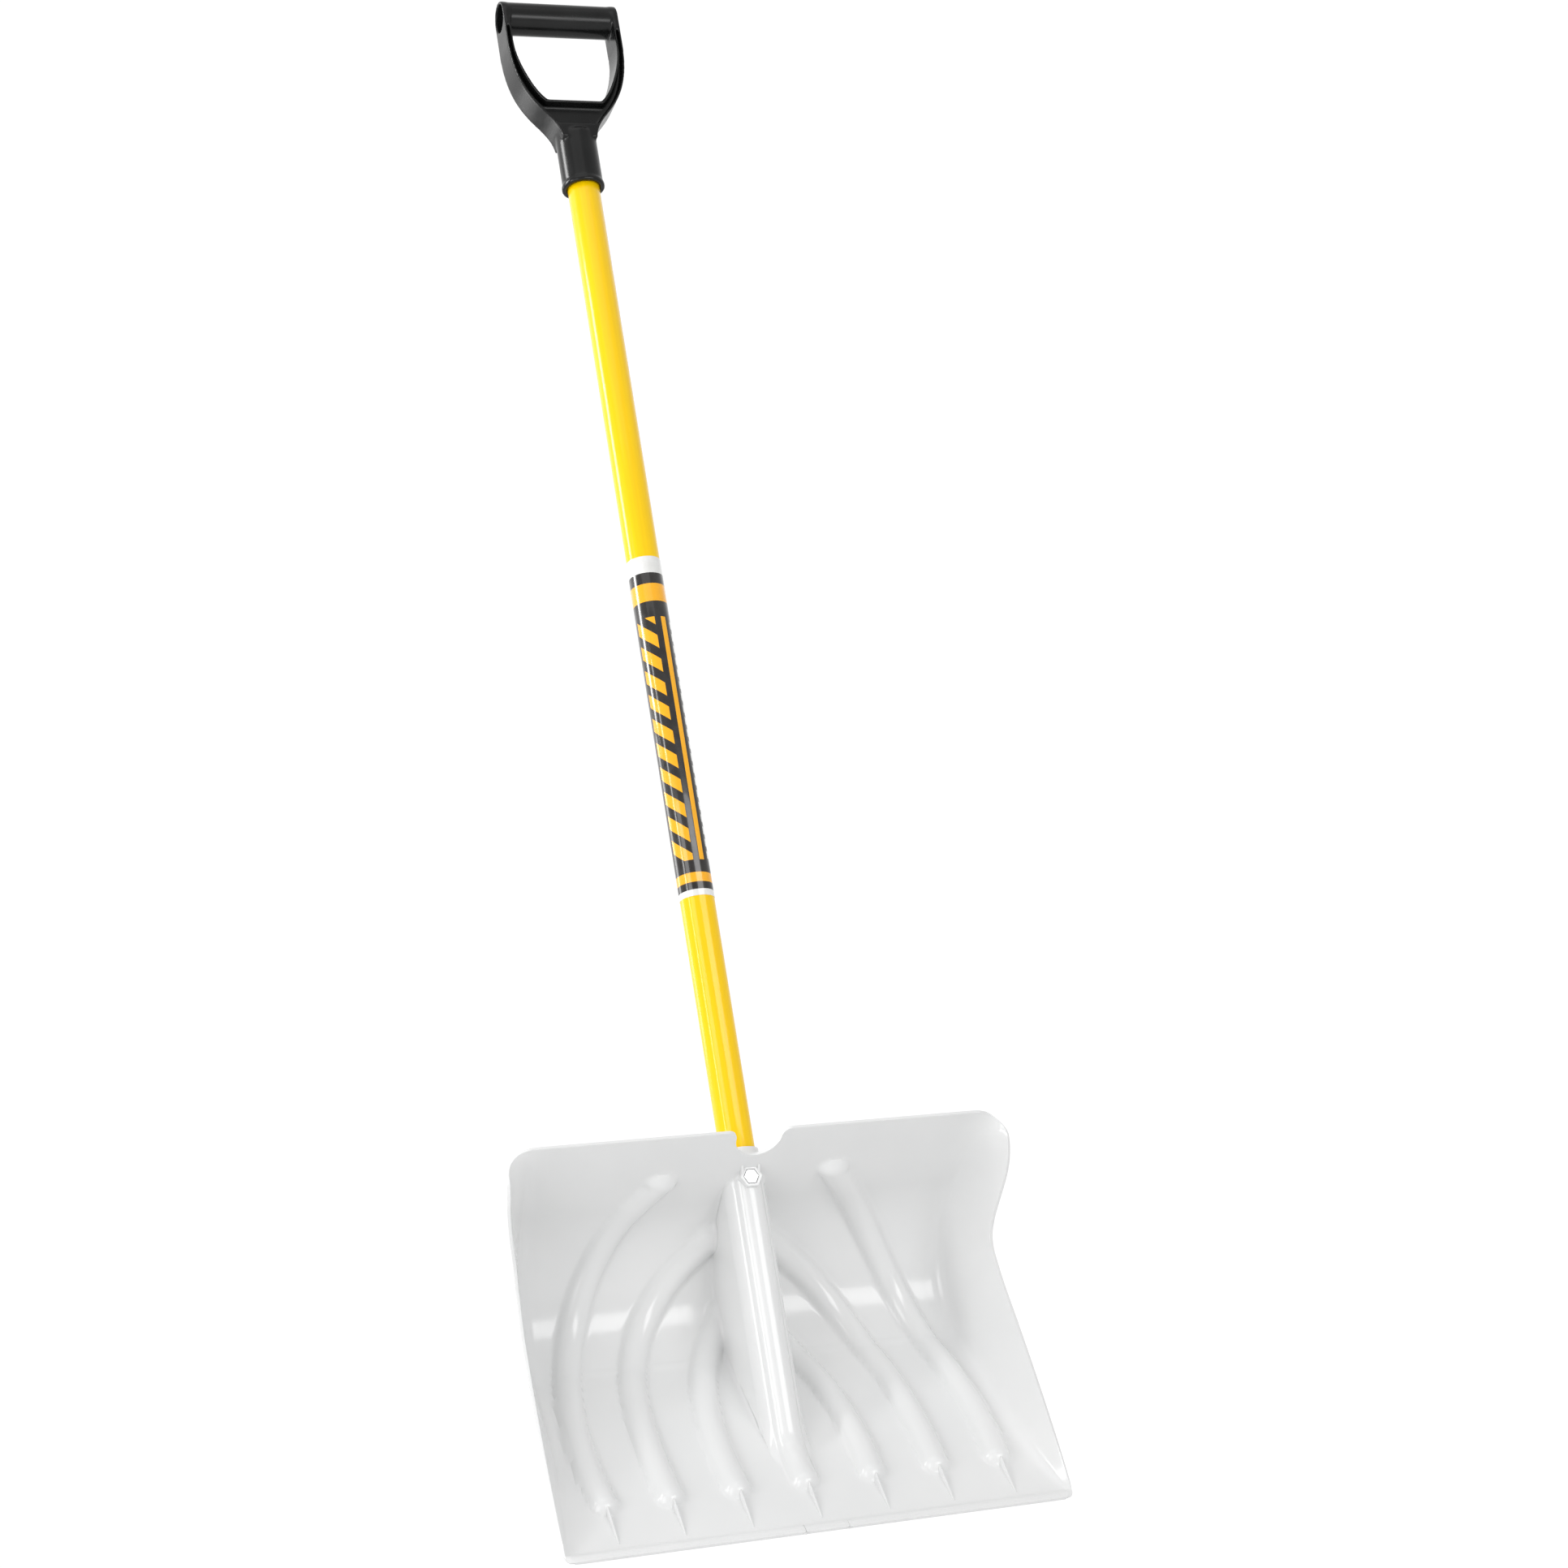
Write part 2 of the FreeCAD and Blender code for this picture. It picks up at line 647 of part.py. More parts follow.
def make_grip():
    """The grip: a hollow hand bar, two channelled arms and the collar that holds the tube."""
    over_bar = size("bar_height") + size("bar_radius")
    front_view = extrude("arm_front_view", sketch_on("arm_outline", FRONT, arm_outline(over_bar, 0)), BACK,
                         "bar_radius + overrun", "bar_radius + overrun")
    side_view = extrude("arm_side_view", sketch_on("arm_side", SIDE, arm_side_edges()), ACROSS,
                        "grip_width / 2", "grip_width / 2")
    arms = common("arms", side_view, front_view)
    gap_outline = sketch_on("hand_gap_outline", FRONT, hand_gap_outline(over_bar + 1, 0))
    gap = extrude("hand_gap", gap_outline, BACK, "bar_radius + overrun", "bar_radius + overrun")
    open_arms = one_by_one("Part::Cut", "open_arms", arms, [gap, make_grooves()])
    bar = cylinder("hand_bar", "bar_radius - cheek_step", "grip_width - arm_wall",
                   {"x": "(arm_wall - grip_width) / 2", "z": "bar_height"}, TOWARDS_RIGHT)
    collar = cylinder("collar", "collar_radius", "collar_top - collar_foot", {"z": "collar_foot"})
    lip = cylinder("collar_lip", "collar_lip", "collar_lip_height", {"z": "collar_foot"})
    neck = primitive("Part::Cone", "collar_neck", {"z": "collar_top"}, None, Radius1="collar_radius",
                     Radius2="collar_radius / 2", Height="collar_radius / 2")
    body = one_by_one("Part::Fuse", "grip_body", open_arms, [bar, collar, neck, lip])
    bores = []
    for name, start in (("left", "-grip_width / 2"), ("right", "grip_width / 2 - bore_depth")):
        bores.append(cylinder("bore_" + name, "bore_radius", "bore_depth",
                              {"x": start, "z": "bar_height"}, TOWARDS_RIGHT))
    tube_way = cylinder("tube_way", "tube_radius + fit_gap", "tube_top - collar_foot", {"z": "collar_foot"})
    screw_way = cylinder("screw_way", "screw_radius", "2 * collar_radius", {"z": "screw_height"}, TOWARDS_BACK)
    grip = one_by_one("Part::Cut", "d_grip", body, [*bores, tube_way, screw_way])
    return bind(grip, **{"Placement.Base.y": "shaft_setback"})


# ---------------------------------------------------------------- fasteners

def make_bolt():
    """The hexagon bolt that goes through the boss, the socket and the tube."""
    head = hexagon("bolt_head", "head_flats", "head_thickness", {"y": "head_thickness"}, TOWARDS_FRONT)
    shank = cylinder("bolt_shank", "bolt_radius",
                     "boss_depth - head_pocket_depth + socket_radius + washer_thickness"
                     " + nut_thickness + overrun",
                     {"y": "head_thickness"}, TOWARDS_BACK)
    bolt = fuse("scoop_bolt", head, shank)
    return bind(bolt, **{"Placement.Base.y": "shaft_setback - boss_depth + head_pocket_depth - head_thickness",
                         "Placement.Base.z": "bolt_height"})


def ring_on_bolt(name, blank, thickness):
    """A washer or nut blank with the bolt's hole through it, along Y."""
    hole = cylinder(name + "_hole", "bolt_radius", thickness, None, TOWARDS_BACK)
    return cut(name, blank, hole)


def make_washer():
    disc = cylinder("washer_disc", "washer_radius", "washer_thickness", None, TOWARDS_BACK)
    washer = ring_on_bolt("bolt_washer", disc, "washer_thickness")
    return bind(washer, **{"Placement.Base.y": "shaft_setback + socket_radius",
                           "Placement.Base.z": "bolt_height"})


def make_nut():
    blank = hexagon("nut_blank", "head_flats", "nut_thickness", {"y": "nut_thickness"}, TOWARDS_FRONT)
    nut = ring_on_bolt("lock_nut", blank, "nut_thickness")
    return bind(nut, **{"Placement.Base.y": "shaft_setback + socket_radius + washer_thickness",
                        "Placement.Base.z": "bolt_height"})


def make_grip_screw():
    """The pan-head screw that pins the grip's collar to the tube, from the rear."""
    head = cylinder("screw_head", "screw_head_radius", "screw_radius", None, TOWARDS_BACK)
    shank = cylinder("screw_shank", "screw_radius", "screw_length", {"y": "-screw_length"}, TOWARDS_BACK)
    screw = fuse("grip_screw", head, shank)
    return bind(screw, **{"Placement.Base.y": "shaft_setback + collar_radius",
                          "Placement.Base.z": "screw_height"})


def check_document(sub_parts):
    """Stops if any object failed to build, or if a sub-part is empty or broken."""
    for item in doc.Objects:
        if "Invalid" in item.State or "Error" in item.State:
            raise RuntimeError("%s failed: %s" % (item.Name, item.State))
    for item in sub_parts:
        if item.Shape.isNull() or not item.Shape.isValid() or not item.Shape.Solids:
            raise RuntimeError("%s has no valid solid" % item.Name)


def main():
    sub_parts = [make_scoop(), make_handle_tube(), make_label_sleeve(), make_grip(),
                 make_bolt(), make_washer(), make_nut(), make_grip_screw()]
    doc.recompute()
    check_document(sub_parts)
    os.makedirs("parts", exist_ok=True)
    for item in sub_parts:
        item.Label = item.Name
        item.Shape.exportStep("parts/%s.step" % item.Label)
        print("%-14s %d solid, %9.0f mm3" % (item.Label, len(item.Shape.Solids), item.Shape.Volume))


if __name__ == "__main__":
    main()
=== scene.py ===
# %% [markdown]
# # A snow shovel
#
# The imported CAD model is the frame: it says where everything is and how big it is. Here each piece gets
# its final shape and finish. The scoop, the hand grip and the tube are made again with softer, finer
# surfaces inside the CAD model's own box, and the bolt, washer, nut and screw keep their CAD shapes.

# %% Load the frame
import math

import bmesh
import bpy
from mathutils import Matrix, Vector


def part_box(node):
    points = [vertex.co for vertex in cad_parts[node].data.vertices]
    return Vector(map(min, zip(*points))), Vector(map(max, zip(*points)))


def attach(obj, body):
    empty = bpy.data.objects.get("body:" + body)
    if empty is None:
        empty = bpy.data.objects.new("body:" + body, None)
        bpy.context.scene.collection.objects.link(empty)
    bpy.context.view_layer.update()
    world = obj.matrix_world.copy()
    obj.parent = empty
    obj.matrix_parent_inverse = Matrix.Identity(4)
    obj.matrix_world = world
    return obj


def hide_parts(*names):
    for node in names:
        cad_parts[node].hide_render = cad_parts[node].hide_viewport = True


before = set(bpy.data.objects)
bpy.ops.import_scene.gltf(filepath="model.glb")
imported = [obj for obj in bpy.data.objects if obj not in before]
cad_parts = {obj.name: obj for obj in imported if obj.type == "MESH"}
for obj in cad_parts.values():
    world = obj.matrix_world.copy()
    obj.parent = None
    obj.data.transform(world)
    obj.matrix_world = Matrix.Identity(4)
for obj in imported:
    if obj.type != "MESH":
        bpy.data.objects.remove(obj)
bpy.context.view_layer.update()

MM = 0.001


# %% [markdown]
# ## Helpers for choosing and finishing
#
# An operator acts on everything that is selected, so each step starts from an empty selection. In edit
# mode, faces are then picked by a rule on their place. A finished piece has its origin at zero, so its
# place is in its mesh, and it is tied to the frame's only body.

# %% Selecting, applying and tying to the frame
def only(piece):
    """Makes one object the active one and the only one selected."""
    bpy.ops.object.select_all(action="DESELECT")
    piece.select_set(True)
    bpy.context.view_layer.objects.active = piece
    return piece


def named(name):
    """Names the object that an operator has just added."""
    piece = bpy.context.active_object
    piece.name = name
    piece.data.name = name
    return only(piece)


def modifier(piece, kind, **settings):
    """Adds a modifier with the given settings and applies it."""
    only(piece)
    added = piece.modifiers.new(kind.lower(), kind)
    for name, value in settings.items():
        setattr(added, name, value)
    bpy.ops.object.modifier_apply(modifier=added.name)


def finish_piece(piece, replaced=()):
    """Puts a piece's place into its mesh, smooths its shading and ties it to the frame."""
    only(piece)
    bpy.ops.object.transform_apply(location=True, rotation=True, scale=True)
    bpy.ops.object.shade_smooth_by_angle(angle=math.radians(40))
    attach(piece, "root")
    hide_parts(*replaced)
    print(piece.name, len(piece.data.polygons), "faces")
    return piece


def joined(pieces, name):
    """Several meshes as one object."""
    bpy.ops.object.select_all(action="DESELECT")
    for piece in pieces:
        piece.select_set(True)
    bpy.context.view_layer.objects.active = pieces[0]
    bpy.ops.object.join()
    return named(name)


# %% [markdown]
# ## The scoop's curves
#
# The real scoop is one injection moulding of white polypropylene, about 3 mm thick everywhere. Seen from
# the side it is a flat ramp, a round curl and a flat brow, and at each side a wing turns forward. Such a
# sheet could be pushed and pulled by hand, but its ribs and wings have to stay fair along half a metre,
# so the sheet's points come from formulas for the same curves that the CAD model has.

# %% The side view as a path
LEAN = math.radians(38)
ENTRY = math.radians(31)
LEAVE = math.radians(64)
CURL = 97
RAMP_TOP = 165
WALL = 3
LIP_RISE = 2
scoop_low, scoop_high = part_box("scoop")
SCOOP_TOP = scoop_high.z / MM
FOOT = -WALL / 2 / math.cos(LEAN)
RAMP_END = FOOT + RAMP_TOP * math.tan(LEAN)
CENTRE_Y = RAMP_END - CURL * math.cos(ENTRY)
CENTRE_Z = RAMP_TOP + CURL * math.sin(ENTRY)
BROW_Y = CENTRE_Y + CURL * math.cos(LEAVE)
BROW_Z = CENTRE_Z + CURL * math.sin(LEAVE)
RAMP = RAMP_TOP / math.cos(LEAN)
CURVE = CURL * (ENTRY + LEAVE)
PATH_START = (WALL - LIP_RISE) * math.tan(LEAN)
PATH_END = RAMP + CURVE + (SCOOP_TOP - WALL * math.sin(LEAVE) - BROW_Z) / math.cos(LEAVE) - 0.5


def smooth(t):
    """Rises from 0 to 1 as t does, with level ends."""
    t = min(1, max(0, t))
    return t * t * (3 - 2 * t)


def soft_min(a, b, blend):
    """The smaller of two numbers, rounded off where they are close."""
    near = max(blend - abs(a - b), 0) / blend
    return min(a, b) - near * near * blend / 4


def mix(a, b, t):
    return a + (b - a) * t


def on_path(station):
    """Where a station of the side view is: y, z, and the direction that the path runs in there."""
    if station <= RAMP:
        y = FOOT + station * math.sin(LEAN)
        return y, station * math.cos(LEAN), math.sin(LEAN), math.cos(LEAN)
    if station <= RAMP + CURVE:
        turned = (station - RAMP) / CURL - ENTRY
        y = CENTRE_Y + CURL * math.cos(turned)
        return y, CENTRE_Z + CURL * math.sin(turned), -math.sin(turned), math.cos(turned)
    along = station - RAMP - CURVE
    y = BROW_Y - along * math.sin(LEAVE)
    return y, BROW_Z + along * math.cos(LEAVE), -math.sin(LEAVE), math.cos(LEAVE)


print("the path is", round(PATH_END - PATH_START), "mm long")


# %% [markdown]
# ## The wings
#
# Each level cut through the scoop is a straight back, a round valley and a nearly straight wing. The
# wing's free edge swings forward over the curl, which gives the waist that shows from the side.

# %% Level cuts
FOOT_HALF = 218.1
WAIST = 228
WAIST_GAIN = 6.7
FLARE_START = 240
FLARE_RUN = 62
FLARE_GAIN = 10
RIM_SLOPE = 0.283
RIM_DEPTH = 61
SWING_START = 232
SWING_RUN = 90
VALLEY_HALF = 198
VALLEY_SPREAD = 25
VALLEY_FADE = 55
WING_LEAST = 8
VALLEY_ROUND = 15
TOP_CORNER = 22
FOOT_CORNER = 6


def rim(z):
    """The (x, y) of a wing's free edge at a height."""
    low_gain = WAIST_GAIN * (1 - min(1, z / WAIST) ** 2)
    x = FOOT_HALF + low_gain + FLARE_GAIN * smooth((z - FLARE_START) / FLARE_RUN)
    deep = FOOT + soft_min(RIM_SLOPE * z, RIM_DEPTH, 8)
    return x, deep + (on_path(PATH_END)[0] - deep) * smooth((z - SWING_START) / SWING_RUN)


def valley(z):
    """Half the width of the flat back at a height."""
    return VALLEY_HALF + VALLEY_SPREAD * math.exp(-z / VALLEY_FADE)


def reach(z, x):
    """How far out a wing may go at a height, with the scoop's corners rounded off."""
    top, foot = on_path(PATH_END)[1] - z, z - on_path(PATH_START)[1] + 1
    if top < TOP_CORNER:
        x -= TOP_CORNER - math.sqrt(TOP_CORNER ** 2 - (TOP_CORNER - top) ** 2)
    if foot < FOOT_CORNER:
        x -= FOOT_CORNER - math.sqrt(FOOT_CORNER ** 2 - (FOOT_CORNER - foot) ** 2)
    return x


def level_cut(station):
    """The right half of a level cut: the valley's corner, its rounding before and after, and the rim."""
    y, z, _, _ = on_path(station)
    rim_x, rim_y = rim(z)
    corner = Vector((valley(z), y))
    edge = Vector((rim_x, rim_y))
    corner.x = min(corner.x, reach(z, rim_x) - WING_LEAST)
    edge = corner + (edge - corner) * ((reach(z, rim_x) - corner.x) / (rim_x - corner.x))
    wing = edge - corner
    before = corner - Vector((VALLEY_ROUND, 0))
    after = corner + wing.normalized() * min(VALLEY_ROUND, 0.45 * wing.length)
    return before, corner, after, edge


# %% [markdown]
# ## Ribs and lip
#
# Seven ribs stiffen the sheet. They are pressed up out of it, so the sheet stays as thick as it was and
# each rib is hollow behind. A rib is a bump whose height depends only on the distance from its line. The
# lower edge steps forward into a lip that takes the wear, and a fine crease runs across just above the ramp.

# %% How far the sheet is raised
RIB_PITCH = 58.4
RIB_HEIGHT = 9
RIB_HALF = 12.5
RIB_FOOT = 3
RIB_POWER = 0.62
RIB_NOSE = 62
LIP = 11
CREASE = RAMP + 8
CREASE_RISE = 0.7
CREASE_HALF = 3
LIP_SLOPE = 3.5
LIP_FADE = 8
LIP_FADE_END = 16
RIBS = [
    {"x": 0, "at": 0, "span": 1, "bend": 0, "flick": 0, "top": 150},
    {"x": 1.06 * RIB_PITCH, "at": 95, "span": 150, "bend": 25, "flick": 13, "top": 262},
    {"x": 2.07 * RIB_PITCH, "at": 105, "span": 200, "bend": 32, "flick": 39, "top": 333},
    {"x": 3.07 * RIB_PITCH, "at": 110, "span": 200, "bend": 46, "flick": 0, "top": 403},
]


def rib_line(rib, station):
    """A rib's distance from the middle at a station, and how steeply it draws in."""
    if not rib["x"]:
        return 0, 0
    t = (station - rib["at"]) / rib["span"]
    slope = (2 * rib["bend"] * t + 4 * rib["flick"] * t ** 3) / rib["span"]
    return rib["x"] - rib["bend"] * t ** 2 - rib["flick"] * t ** 4, slope


def rib_edge(away):
    """The height of a rib's section at a distance from its line: a round top on a small fillet."""
    over = RIB_HEIGHT * max(0, 1 - (away / RIB_HALF) ** 2) ** RIB_POWER
    fillet = RIB_FOOT - away + RIB_HALF
    curve = max(0, fillet) ** 2 / (4 * RIB_FOOT)
    return max(over, min(curve, RIB_FOOT)) if away > RIB_HALF - RIB_FOOT else over


def raised(x, station):
    """How far the sheet stands out at a point."""
    bump = 0
    for rib in RIBS:
        on_rib = min(max(station, RIB_NOSE), rib["top"])
        line_x, slope = rib_line(rib, on_rib)
        across = (abs(x) - line_x) / math.sqrt(1 + slope * slope)
        away = math.hypot(across, station - on_rib)
        bump = max(bump, rib_edge(away))
    lip = LIP_RISE * smooth((LIP - station) / LIP_SLOPE)
    crease = CREASE_RISE * max(0, 1 - abs(station - CREASE) / CREASE_HALF)
    return max(bump, lip, crease)


# %% [markdown]
# ## The spine
#
# In the middle a deep hollow spine carries the handle. It has steep sides, a round cover over the socket
# and a bead down its front. It belongs to the same sheet, so it is in the same level cuts: from the
# middle outwards come the bead, the cover, the side and a small fillet, and then the back.

# %% The spine's columns
BEAD_BLEND_ABOVE = 3
BEAD_BLEND_RUN = 60
DEEP_RUN = 12
tube_low, tube_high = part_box("handle_tube")
AXIS_Y = (tube_low.y + tube_high.y) / 2 / MM
SPINE_FOOT = 19.5
COVER = 19.0
BEAD = 12
BEAD_DEPTH = 23
SHOULDER_Y = AXIS_Y - math.sqrt(COVER ** 2 - BEAD ** 2)
BEAD_RISE = SHOULDER_Y - 1.5 - (AXIS_Y - BEAD_DEPTH)
BEAD_RADIUS = ((BEAD - 0.5) ** 2 + BEAD_RISE ** 2) / 2 / BEAD_RISE
FILLET = 4
BEAD_BLEND = 16


def bead_column(x):
    """A column on the bead: its x, and the y of the spine's front there."""
    front = AXIS_Y - BEAD_DEPTH + BEAD_RADIUS - math.sqrt(BEAD_RADIUS ** 2 - x * x)
    return x, front


def cover_column(degrees):
    """A column on the round cover over the socket."""
    turned = math.radians(degrees)
    return COVER * math.sin(turned), AXIS_Y - COVER * math.cos(turned)


SPINE_COLUMNS = [bead_column(x) for x in (0, 2, 4, 6, 8, 10, 11.5)]
SPINE_COLUMNS += [cover_column(a) for a in (39.5, 44, 54, 65, 77, 88)]
SIDE_SHARES = [0.97, 0.86, 0.7, 0.5, 0.3, 0.16, 0.08]
FILLET_STEPS = [0.12, 0.4, 0.9, 1.6, 2.6, 4]


def place(x, y, z, run_y, run_z, station, lift=1):
    """A point of the back's surface, raised square to it where there is a rib."""
    out = raised(x, station) * lift
    return Vector((x, y - out * run_z, z + out * run_y))


def half_cut(station, back_columns, valley_columns, wing_columns):
    """The points of the right half of one level cut, from the middle out to the rim."""
    y, z, run_y, run_z = on_path(station)
    before, corner, after, edge = level_cut(station)
    points = []
    blend = mix(BEAD_BLEND, BEAD_BLEND_ABOVE, smooth((station - RIBS[0]["top"]) / BEAD_BLEND_RUN))
    for x, front in SPINE_COLUMNS:
        sheet = place(x, y, z, run_y, run_z, station)
        on_sheet = smooth((front - sheet.y) / blend + 0.5)
        points.append(Vector((x, soft_min(sheet.y, front, blend), mix(z, sheet.z, on_sheet))))
    foot = place(SPINE_FOOT, y, z, run_y, run_z, station)
    for share in SIDE_SHARES:
        side_y = soft_min(foot.y, mix(foot.y, AXIS_Y, share), 1)
        points.append(Vector((mix(SPINE_FOOT, COVER, share), min(foot.y, side_y), mix(foot.z, z, share))))
    deep = smooth((foot.y - AXIS_Y) / DEEP_RUN)
    for step in FILLET_STEPS:
        point = place(SPINE_FOOT + step, y, z, run_y, run_z, station)
        rise = FILLET - math.sqrt(max(0, FILLET ** 2 - (FILLET - step) ** 2))
        points.append(point - Vector((0, rise * deep, 0)))
    start = SPINE_FOOT + FILLET_STEPS[-1]
    for i in range(1, back_columns + 1):
        x = mix(start, before.x, i / back_columns)
        points.append(place(x, y, z, run_y, run_z, station))
    at_lip = smooth((LIP_FADE_END - station) / LIP_FADE)
    for i in range(1, valley_columns + 1):
        t = i / valley_columns
        flat = before * (1 - t) ** 2 + corner * 2 * t * (1 - t) + after * t ** 2
        points.append(place(flat.x, flat.y, z, run_y, run_z, station, max(1 - t, at_lip)))
    for i in range(1, wing_columns + 1):
        flat = after.lerp(edge, i / wing_columns)
        lipped = place(flat.x, flat.y, z, run_y, run_z, station, at_lip)
        points.append(Vector((flat.x, mix(lipped.y, flat.y, i / wing_columns), lipped.z)))
    return points


# %% [markdown]
# ## Making the sheet
#
# A grid primitive gives the sheet its rows and columns, and each of its points is then moved to the
# curves above. The rows and columns are under 3 mm apart, which keeps the ribs round.

# %% The grid, moved into shape
ROWS = 184
BACK_COLUMNS = 76
VALLEY_COLUMNS = 8
WING_COLUMNS = 9


def make_sheet():
    """The scoop's front surface as one grid."""
    half_columns = (len(SPINE_COLUMNS) + len(SIDE_SHARES) + len(FILLET_STEPS)
                    + BACK_COLUMNS + VALLEY_COLUMNS + WING_COLUMNS)
    across = 2 * (half_columns - 1)
    bpy.ops.mesh.primitive_grid_add(x_subdivisions=across, y_subdivisions=ROWS, size=2)
    sheet = named("scoop_shell")
    row_points = {}
    for vertex in sheet.data.vertices:
        column = round(vertex.co.x * across / 2)
        row = round((vertex.co.y + 1) / 2 * ROWS)
        if row not in row_points:
            station = mix(PATH_START, PATH_END, row / ROWS)
            row_points[row] = half_cut(station, BACK_COLUMNS, VALLEY_COLUMNS, WING_COLUMNS)
        point = row_points[row][abs(column)] * MM
        vertex.co = Vector((math.copysign(point.x, column), point.y, point.z))
    return sheet


shell = make_sheet()
print("the sheet has", len(shell.data.vertices), "points")


# %% [markdown]
# ## The notch
#
# The top edge has a U-shaped notch where the handle passes. Faces whose middle is inside the U go, and
# the open edge that is left is pulled on to the U, which keeps the grid's clean flow up to the edge.

# %% Cutting the notch
NOTCH_HALF = 21
NOTCH_FLARE = 8
NOTCH_FOOT = 316
NOTCH_MIDDLE = on_path(PATH_END)[0] + NOTCH_FLARE


def in_notch(x, y):
    """True inside the U with its flared ends, seen from above."""
    if y > NOTCH_MIDDLE:
        return math.hypot(x, y - NOTCH_MIDDLE) < NOTCH_HALF
    beside = NOTCH_HALF + NOTCH_FLARE - abs(x)
    return beside > 0 and math.hypot(beside, NOTCH_MIDDLE - y) > NOTCH_FLARE


def on_notch(x, y):
    """The nearest point of the U's line, which is one round bottom and two round flares."""
    centre, radius = Vector((0, NOTCH_MIDDLE)), NOTCH_HALF
    if y < NOTCH_MIDDLE:
        centre, radius = Vector((math.copysign(NOTCH_HALF + NOTCH_FLARE, x), NOTCH_MIDDLE)), NOTCH_FLARE
    return centre + (Vector((x, y)) - centre).normalized() * radius


def cut_notch(sheet):
    only(sheet)
    mesh = bmesh.new()
    mesh.from_mesh(sheet.data)
    inside = []
    for face in mesh.faces:
        middle = face.calc_center_median() / MM
        if middle.z > NOTCH_FOOT and in_notch(middle.x, middle.y):
            inside.append(face)
    bmesh.ops.delete(mesh, geom=inside, context="FACES")
    for vertex in mesh.verts:
        here = vertex.co / MM
        near = abs(here.x) < NOTCH_HALF + NOTCH_FLARE and here.z > NOTCH_FOOT
        if near and vertex.is_boundary:
            x, y = on_notch(here.x, here.y)
            z = BROW_Z + (BROW_Y - y) / math.tan(LEAVE)
            vertex.co = Vector((x, y, z)) * MM
    mesh.to_mesh(sheet.data)
    mesh.free()
    return len(inside)


print("the notch took", cut_notch(shell), "faces")


# %% [markdown]
# ## Wall and edges
#
# Solidify gives the sheet its thickness behind the shaped side, so the ribs and the spine come out
# hollow at the back, as they are in the moulding. Its rim faces get a material number of their own for
# a moment, so that just their long edges can be bevelled to the moulding's rounded edge.

# %% Thickness and rounded rim
SHEET_WALL = WALL - 0.3
RIM_BEVEL = 1.25


def add_wall(sheet):
    only(sheet)
    sheet.data.materials.append(None)
    sheet.data.materials.append(None)
    modifier(sheet, "SOLIDIFY", thickness=SHEET_WALL * MM, offset=-1, use_rim=True, material_offset_rim=1)
    bpy.ops.object.mode_set(mode="EDIT")
    bpy.ops.mesh.select_mode(type="FACE")
    bpy.ops.mesh.select_all(action="DESELECT")
    sheet.active_material_index = 1
    bpy.ops.object.material_slot_select()
    bpy.ops.mesh.region_to_loop()
    bpy.ops.mesh.bevel(offset=RIM_BEVEL * MM, segments=3, affect="EDGES", clamp_overlap=True)
    bpy.ops.object.mode_set(mode="OBJECT")
    for face in sheet.data.polygons:
        face.material_index = 0
    sheet.data.materials.clear()
    for vertex in sheet.data.vertices:
        vertex.co.z = max(vertex.co.z, scoop_low.z)


add_wall(shell)
print("with its wall the scoop has", len(shell.data.polygons), "faces")


# %% [markdown]
# ## Socket, boss, ridges and fins
#
# The tube's socket is a sleeve that runs up through the brow. In front of it stands a hexagonal boss with
# a pocket for the bolt's head, and two thin ridges run from the boss to the notch. A small fin runs down
# from each rib's nose. Each starts as a primitive and is shaped with extrude, inset, scale and bevel.

# %% The socket's sleeve
SOCKET_RADIUS = 18.6
SOCKET_FLOOR = 172
SOCKET_MOUTH = 343
TUBE_RADIUS = (tube_high.x - tube_low.x) / 2


def make_sleeve():
    """An open sleeve with a rounded mouth."""
    middle = (SOCKET_FLOOR + SOCKET_MOUTH) / 2 * MM
    bpy.ops.mesh.primitive_cylinder_add(vertices=72, radius=SOCKET_RADIUS * MM, end_fill_type="NOTHING",
                                        depth=(SOCKET_MOUTH - SOCKET_FLOOR) * MM,
                                        location=(0, AXIS_Y * MM, middle))
    sleeve = named("socket_sleeve")
    modifier(sleeve, "SOLIDIFY", thickness=SOCKET_RADIUS * MM - TUBE_RADIUS - 0.25 * MM, offset=-1)
    modifier(sleeve, "BEVEL", width=0.9 * MM, segments=3, limit_method="ANGLE", angle_limit=math.radians(60))
    return sleeve


# %% The hexagonal boss with its pocket
BOLT_Z = 314
BOSS_FLATS = 18
BOSS_FRONT = AXIS_Y - 27
BOSS_LENGTH = 21
BOSS_RIM = 2.7
POCKET_DEPTH = 4.6


def faces_where(piece, rule):
    """In edit mode, selects just the faces whose middle and normal fit a rule."""
    bpy.ops.object.mode_set(mode="EDIT")
    bpy.ops.mesh.select_mode(type="FACE")
    bpy.ops.mesh.select_all(action="DESELECT")
    bpy.ops.object.mode_set(mode="OBJECT")
    for face in piece.data.polygons:
        face.select = rule(face.center / MM, face.normal)
    bpy.ops.object.mode_set(mode="EDIT")


